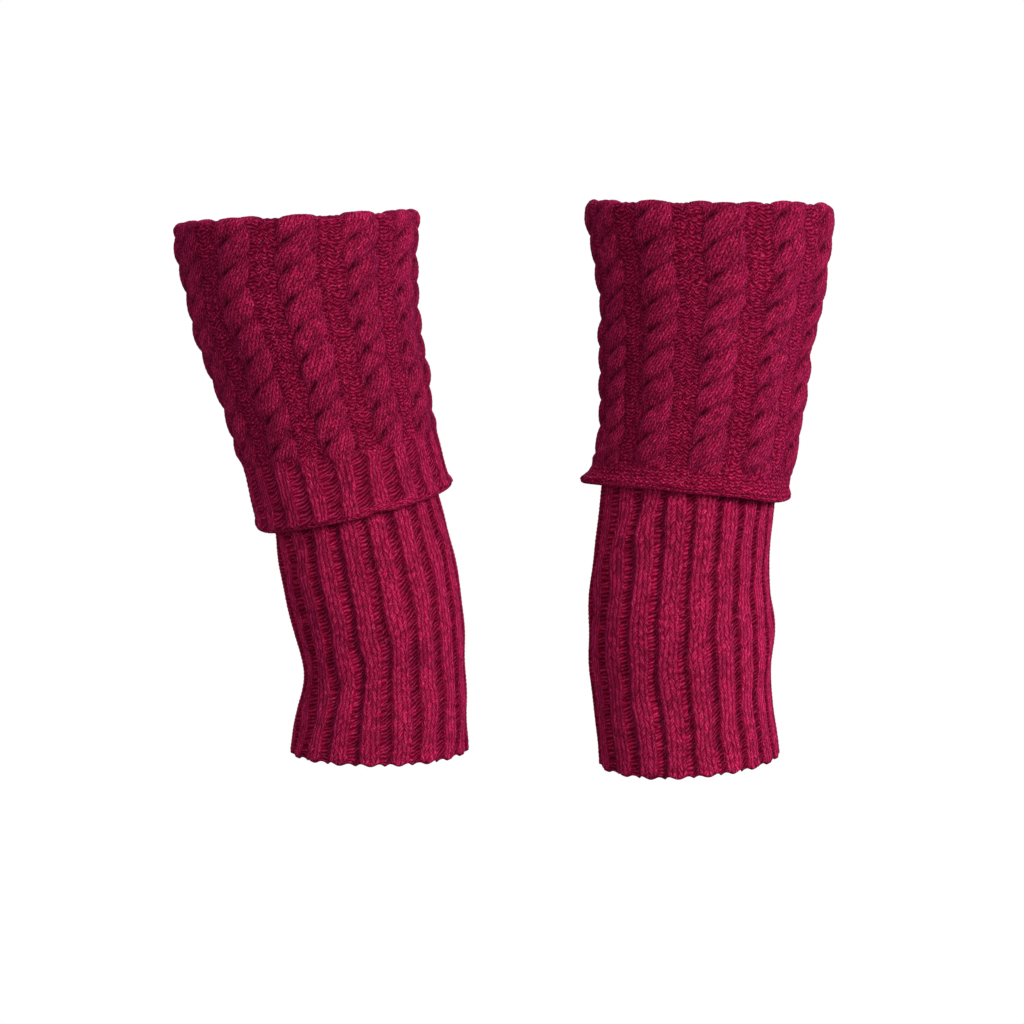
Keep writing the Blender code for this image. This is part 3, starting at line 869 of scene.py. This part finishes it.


# Colours of the yarn: painted shade between the strands, the yarn's own colour on them, a painted
# highlight where they catch the light, and painted highlights on the fibres that stand off them
SHADED_GAP = (0.070, 0.0001, 0.0042, 1.0)
STRAND = (0.263, 0.0021, 0.0325, 1.0)
LIT_CREST = (0.405, 0.0238, 0.092, 1.0)
LIT_FIBRE = (0.620, 0.0800, 0.210, 1.0)
YARN_SURFACE = {
    "Roughness": 0.95,
    "Diffuse Roughness": 0.6,
    "Specular IOR Level": 0.015,
    "Sheen Weight": 0.10,
    "Sheen Roughness": 0.5,
    "Sheen Tint": (0.95, 0.03, 0.45, 1.0),
}
STRAND_LIGHT = 0.55  # place of the strand's colour between the other two

# Stitches of the yarn's texture
V_STEEPER = 1.1  # the texture rises steeper than the stitch's body
ROW_SCATTER = 0.22  # uneven place of a stitch, in rows
SLANT_SCATTER = 0.9  # and its slant, in rows across a wale
KNIT_SLANT = 0.6  # share of that slant on the knit side
PURL_WAVE = 0.20  # rows that a purl strand waves up and down
KNIT_DIP = 0.55  # how low a knit leg dips under the next one
LEG_FLOOR = 0.02  # height between two legs
PURL_ROUND = 0.8  # how broad the ridge of a purl strand is
PURL_WALE = 0.16  # how much lower it is between two wales

# Grain of the plies, in cells of noise on a wale and on a row
KNIT_GRAIN = (9.0, 2.6, 0.0)
PURL_GRAIN = (3.4, 7.0, 0.0)
FUZZ_SCALE = 1300.0  # cells of noise in a metre
PATCH_SCALE = 55.0

# What lightens and darkens the yarn: its plies, random tone, and painted light and shade
PLY_TONE = 0.40
# painted shade low in the yarn and painted highlights on its crests
PAINTED_RELIEF_LIGHT = 0.68
STITCH_TONE = 0.32  # uneven tone of single legs of stitches
PATCH_TONE = 0.12  # and of patches of the cloth
TOP_TONE = 1.08  # tone where there is no painted shade, as on top of the ribs
PAINTED_SHADE_TONE = 0.42  # and how much darker the painted shade makes it at the bottom of a furrow

# Relief of the yarn's surface
BUMP_STRENGTH = 0.8
BUMP_DISTANCE = 0.6 * MM
PLY_BUMP = 0.45
FUZZ_BUMP = 0.35


class NodeMaker:
    """Short ways to add nodes to a material."""

    def __init__(self, tree):
        self.nodes, self.links = tree.nodes, tree.links

    def put(self, socket, value):
        """Links another node's output to a socket, or sets the socket to a number."""
        if hasattr(value, "links"):
            self.links.new(value, socket)
        else:
            socket.default_value = value

    def node(self, kind, **settings):
        made = self.nodes.new(kind)
        for key, value in settings.items():
            setattr(made, key, value)
        return made

    def attribute(self, name):
        return self.node("ShaderNodeAttribute", attribute_name=name).outputs["Fac"]

    def calc(self, operation, *values, kind="ShaderNodeMath"):
        made = self.node(kind, operation=operation)
        for socket, value in zip(made.inputs, values):
            self.put(socket, value)
        return made.outputs[0]

    def vector(self, operation, *values):
        return self.calc(operation, *values, kind="ShaderNodeVectorMath")

    def scale(self, vector, factor):
        made = self.node("ShaderNodeVectorMath", operation="SCALE")
        self.put(made.inputs[0], vector)
        self.put(made.inputs["Scale"], factor)
        return made.outputs[0]

    def mix(self, kind, factor, first, second):
        made = self.node("ShaderNodeMix", data_type=kind)
        a, b, result = {"FLOAT": (2, 3, 0), "VECTOR": (4, 5, 1), "RGBA": (6, 7, 2)}[kind]
        self.put(made.inputs[0], factor)
        self.put(made.inputs[a], first)
        self.put(made.inputs[b], second)
        return made.outputs[result]

    def spread(self, value, low, high, to_low=0.0, to_high=1.0):
        """Maps the range from low to high onto another one."""
        made = self.node("ShaderNodeMapRange")
        for socket, number in zip(made.inputs, (value, low, high, to_low, to_high)):
            self.put(socket, number)
        return made.outputs["Result"]

    def noise(self, place, scale, detail, roughness=0.6):
        made = self.node("ShaderNodeTexNoise")
        self.put(made.inputs["Vector"], place)
        made.inputs["Scale"].default_value = scale
        made.inputs["Detail"].default_value = detail
        made.inputs["Roughness"].default_value = roughness
        return made.outputs["Fac"]

    def chance(self, stitch, columns):
        """Three random numbers for each cell of the stitch coordinates."""
        made = self.node("ShaderNodeTexWhiteNoise", noise_dimensions="2D")
        cells = self.vector("MULTIPLY", stitch, (columns, 1.0, 0.0))
        self.put(made.inputs["Vector"], self.vector("FLOOR", cells))
        split = self.node("ShaderNodeSeparateColor")
        self.put(split.inputs[0], made.outputs["Color"])
        return split.outputs


def strand_relief(add, stitch, purl):
    """The height of the yarn from 0 to 1, where every stitch lies a little unevenly."""
    parts = add.node("ShaderNodeSeparateXYZ")
    add.put(parts.inputs[0], stitch)
    wale, row = parts.outputs["X"], parts.outputs["Y"]
    chance = add.chance(stitch, 1.0)
    across = add.calc("SUBTRACT", add.calc("FRACT", wale), 0.5)
    rise = add.calc("MULTIPLY", add.calc("ABSOLUTE", across), 2 * V_STEEPER)
    own_slant = add.spread(chance[1], 0.0, 1.0, -SLANT_SCATTER, SLANT_SCATTER)
    slant = add.calc("MULTIPLY", across, own_slant)
    own_row = add.calc("ADD", row, add.spread(chance[0], 0.0, 1.0, -ROW_SCATTER, ROW_SCATTER))
    over_wale = add.calc("COSINE", add.calc("MULTIPLY", wale, TURN))
    knit_rise = add.calc("ADD", rise, add.calc("MULTIPLY", slant, KNIT_SLANT))
    purl_rise = add.calc("ADD", slant, add.calc("MULTIPLY", over_wale, PURL_WAVE))
    phase = add.calc("ADD", own_row, add.mix("FLOAT", purl, knit_rise, purl_rise))
    beat = add.calc("COSINE", add.calc("MULTIPLY", phase, TURN))
    dip = add.calc("MULTIPLY_ADD", beat, 0.5, 0.5)

    # Two legs on each knit wale, which dip where the next row laps over them
    leg = add.calc("MULTIPLY_ADD", add.calc("FRACT", add.calc("MULTIPLY", wale, 2.0)), 2.0, -1.0)
    legs = add.calc("SQRT", add.calc("SUBTRACT", 1.0, add.calc("MULTIPLY", leg, leg)))
    lapped = add.calc("MULTIPLY_ADD", add.calc("MULTIPLY", dip, dip), -KNIT_DIP, 1.0)
    knit = add.calc("MULTIPLY", add.calc("ADD", legs, LEG_FLOOR), lapped)

    # One arc on each purl stitch
    ridge = add.calc("POWER", add.calc("SUBTRACT", 1.0, dip), PURL_ROUND)
    arc = add.calc("MULTIPLY_ADD", over_wale, -PURL_WALE, 1 - PURL_WALE)
    return add.mix("FLOAT", purl, knit, add.calc("MULTIPLY", ridge, arc))


def tone_and_painted_shade(add, stitch, body):
    """How light the yarn is: uneven from stitch to stitch and in patches, and with painted shade where
    deep.
    """
    leg_chance = add.chance(stitch, 2.0)[2]
    patch = add.noise(body, PATCH_SCALE, 2.0)
    leg_tone = add.spread(leg_chance, 0.0, 1.0, 1 - STITCH_TONE, 1 + STITCH_TONE)
    patch_tone = add.spread(patch, 0.3, 0.7, 1 - PATCH_TONE, 1 + PATCH_TONE)
    # painted shade, from the mesh's deep attribute
    shade = add.calc("MULTIPLY_ADD", add.attribute("deep"), -PAINTED_SHADE_TONE, TOP_TONE)
    return add.calc("MULTIPLY", add.calc("MULTIPLY", leg_tone, patch_tone), shade)


def knit_material(name):
    """Matt, slightly fuzzy yarn, plied and hairy, with painted shade in the gaps and painted highlights
    on the strands.
    """
    material = bpy.data.materials.new(name)
    material.use_nodes = True
    add = NodeMaker(material.node_tree)
    shader = add.nodes["Principled BSDF"]
    for socket, value in YARN_SURFACE.items():
        shader.inputs[socket].default_value = value

    purl = add.attribute("purl")
    body = add.node("ShaderNodeTexCoord").outputs["Object"]
    stitch = add.node("ShaderNodeUVMap", uv_map="stitches").outputs["UV"]
    relief = strand_relief(add, stitch, purl)
    knit_grain = add.vector("MULTIPLY", stitch, KNIT_GRAIN)
    purl_grain = add.vector("MULTIPLY", stitch, PURL_GRAIN)
    ply = add.noise(add.mix("VECTOR", purl, knit_grain, purl_grain), 1.0, 1.5)
    fuzz = add.noise(body, FUZZ_SCALE, 2.5, 0.7)

    # The ramp runs from painted shade in the gaps to painted highlights on the crests, by the yarn's
    # height, and follows the plies' grain
    painted_light_by_height = add.calc("MULTIPLY", relief, PAINTED_RELIEF_LIGHT)
    light = add.calc("MULTIPLY_ADD", add.spread(ply, 0.3, 0.7), PLY_TONE, painted_light_by_height)
    ramp = add.node("ShaderNodeValToRGB")
    ramp.color_ramp.elements[0].color = SHADED_GAP
    ramp.color_ramp.elements[1].color = LIT_CREST
    ramp.color_ramp.elements.new(STRAND_LIGHT).color = STRAND
    add.put(ramp.inputs["Fac"], add.spread(light, 0.15, 1.0))
    # Painted highlights on the fibres, on the crests only
    on_crests = add.spread(relief, 0.2, 0.9, 0.15, 0.9)
    fibre_highlights = add.calc("MULTIPLY", add.spread(fuzz, 0.52, 0.74), on_crests)
    colour = add.mix("RGBA", fibre_highlights, ramp.outputs["Color"], LIT_FIBRE)
    add.put(shader.inputs["Base Color"], add.scale(colour, tone_and_painted_shade(add, stitch, body)))

    height = add.calc("MULTIPLY_ADD", ply, PLY_BUMP, add.calc("MULTIPLY_ADD", fuzz, FUZZ_BUMP, relief))
    bump = add.node("ShaderNodeBump")
    bump.inputs["Strength"].default_value = BUMP_STRENGTH
    bump.inputs["Distance"].default_value = BUMP_DISTANCE
    add.put(bump.inputs["Height"], height)
    add.put(shader.inputs["Normal"], bump.outputs["Normal"])
    return material


# Studio
FLOOR = -1.2
FLOOR_RADIUS = 3.6
COVE_RADIUS = 1.6
COVE_STEPS = 16
WALL_TOP = 6.0
SWEEP_STEPS = 64


def sweep_mesh():
    """A floor that curves up into a round wall."""
    profile = [(0.0, FLOOR)]
    for step in range(COVE_STEPS + 1):
        turn = math.pi / 2 * step / COVE_STEPS
        out, up = COVE_RADIUS * math.sin(turn), COVE_RADIUS * (1 - math.cos(turn))
        profile.append((FLOOR_RADIUS + out, FLOOR + up))
    profile.append((FLOOR_RADIUS + COVE_RADIUS, WALL_TOP))
    mesh = bmesh.new()
    spots = [mesh.verts.new((x, 0.0, z)) for x, z in profile]
    edges = [mesh.edges.new(pair) for pair in zip(spots, spots[1:])]
    turned = {"axis": (0, 0, 1), "cent": (0, 0, 0), "angle": TURN, "steps": SWEEP_STEPS}
    bmesh.ops.spin(mesh, geom=spots + edges, **turned)
    bmesh.ops.remove_doubles(mesh, verts=mesh.verts, dist=0.1 * MM)
    data = bpy.data.meshes.new("studio_sweep")
    mesh.to_mesh(data)
    mesh.free()
    data.shade_smooth()
    return data


def white_material():
    white = bpy.data.materials.new("white_sweep")
    white.use_nodes = True
    nodes, links = white.node_tree.nodes, white.node_tree.links
    nodes.remove(nodes["Principled BSDF"])
    glow = nodes.new("ShaderNodeEmission")
    glow.inputs["Color"].default_value = (1.0, 1.0, 1.0, 1.0)
    glow.inputs["Strength"].default_value = 1.0
    links.new(glow.outputs[0], nodes["Material Output"].inputs["Surface"])
    return white


def studio():
    """The white sweep, seen by the camera and lit by nothing."""
    sweep = add_object("studio_sweep", sweep_mesh())
    sweep.data.materials.append(white_material())
    sweep.visible_diffuse = False
    sweep.visible_glossy = False
    sweep.visible_shadow = False


Lamp = namedtuple("Lamp", "name spot size power colour")
LAMPS = [
    Lamp("key", (1.5, -1.7, 0.75), 0.9, 55.0, (1.0, 0.97, 0.95)),
    Lamp("front", (-0.2, -2.4, 0.3), 1.6, 16.5, (1.0, 0.98, 0.98)),
    Lamp("right", (1.9, 0.3, 0.1), 1.0, 12.5, (0.96, 0.91, 0.98)),
    Lamp("left", (-2.0, -0.6, 0.2), 1.4, 6.8, (0.97, 0.93, 0.98)),
    Lamp("back", (0.2, 2.2, 0.8), 1.6, 26.0, (1.0, 0.97, 1.0)),
    Lamp("top", (0.0, 0.0, 2.0), 1.6, 14.0, (1.0, 1.0, 1.0)),
]
MIDDLE = (0.0, 0.0, -0.14)
AMBIENT = 0.22


def point_at(thing, target):
    aim = Vector(target) - thing.location
    thing.rotation_euler = aim.to_track_quat("-Z", "Y").to_euler()


def lights():
    """Large round lamps that point at the pair, and an even light from all sides."""
    for lamp in LAMPS:
        data = bpy.data.lights.new(lamp.name, "AREA")
        data.shape = "DISK"
        data.size = lamp.size
        data.energy = lamp.power
        data.color = lamp.colour
        thing = add_object(lamp.name, data)
        thing.location = lamp.spot
        point_at(thing, MIDDLE)
    world = bpy.data.worlds.new("studio")
    bpy.context.scene.world = world
    world.use_nodes = True
    background = world.node_tree.nodes["Background"]
    background.inputs["Color"].default_value = (1.0, 0.97, 0.98, 1.0)
    background.inputs["Strength"].default_value = AMBIENT


# Camera: level with the rims, and far enough away for the picture's flat perspective
PIXEL = 0.52 * MM
PICTURE = 1024
DISTANCE = 2.1
RIM_LINE = 207  # pixel row of the frame's level z = 0
MIDDLE_LINE = 503.5  # pixel column of x = 0


def camera():
    """A camera that sees the picture's pixels at their real size in the plane of the legs."""
    aim_x = (PICTURE / 2 - MIDDLE_LINE) * PIXEL
    aim_z = (RIM_LINE - PICTURE / 2) * PIXEL
    data = bpy.data.cameras.new("camera")
    reach = math.hypot(DISTANCE, aim_z)
    data.sensor_width = 36.0
    data.lens = data.sensor_width * reach / (PICTURE * PIXEL)
    data.clip_start = 0.1
    data.clip_end = 30.0
    thing = add_object("camera", data)
    thing.location = (aim_x, -DISTANCE, 0.0)
    point_at(thing, (aim_x, 0.0, aim_z))
    bpy.context.scene.camera = thing


def dress():
    """The six pieces of the pair, in place of their solids."""
    rib = knit_material("rib_yarn")
    cable = knit_material("cable_yarn")
    rolled = knit_material("rolled_yarn")
    for side, leg in (("left", LEFT), ("right", RIGHT)):
        tube = rib_tube(leg, side + "_ribbed_leg", rib)
        cuff = cable_cuff(leg, side + "_cabled_cuff", cable)
        hem = rolled_hem(leg, side + "_rolled_edge", rolled)
        for piece, node, slot in (
            (tube, side + "_rib_tube", "rib_knit"),
            (cuff, side + "_cable_cuff", "cable_knit"),
            (hem, side + "_rolled_hem", "plain_knit"),
        ):
            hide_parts(node)
            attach(piece, "root")


bpy.context.scene.view_settings.view_transform = "Standard"
camera()
lights()
studio()
dress()
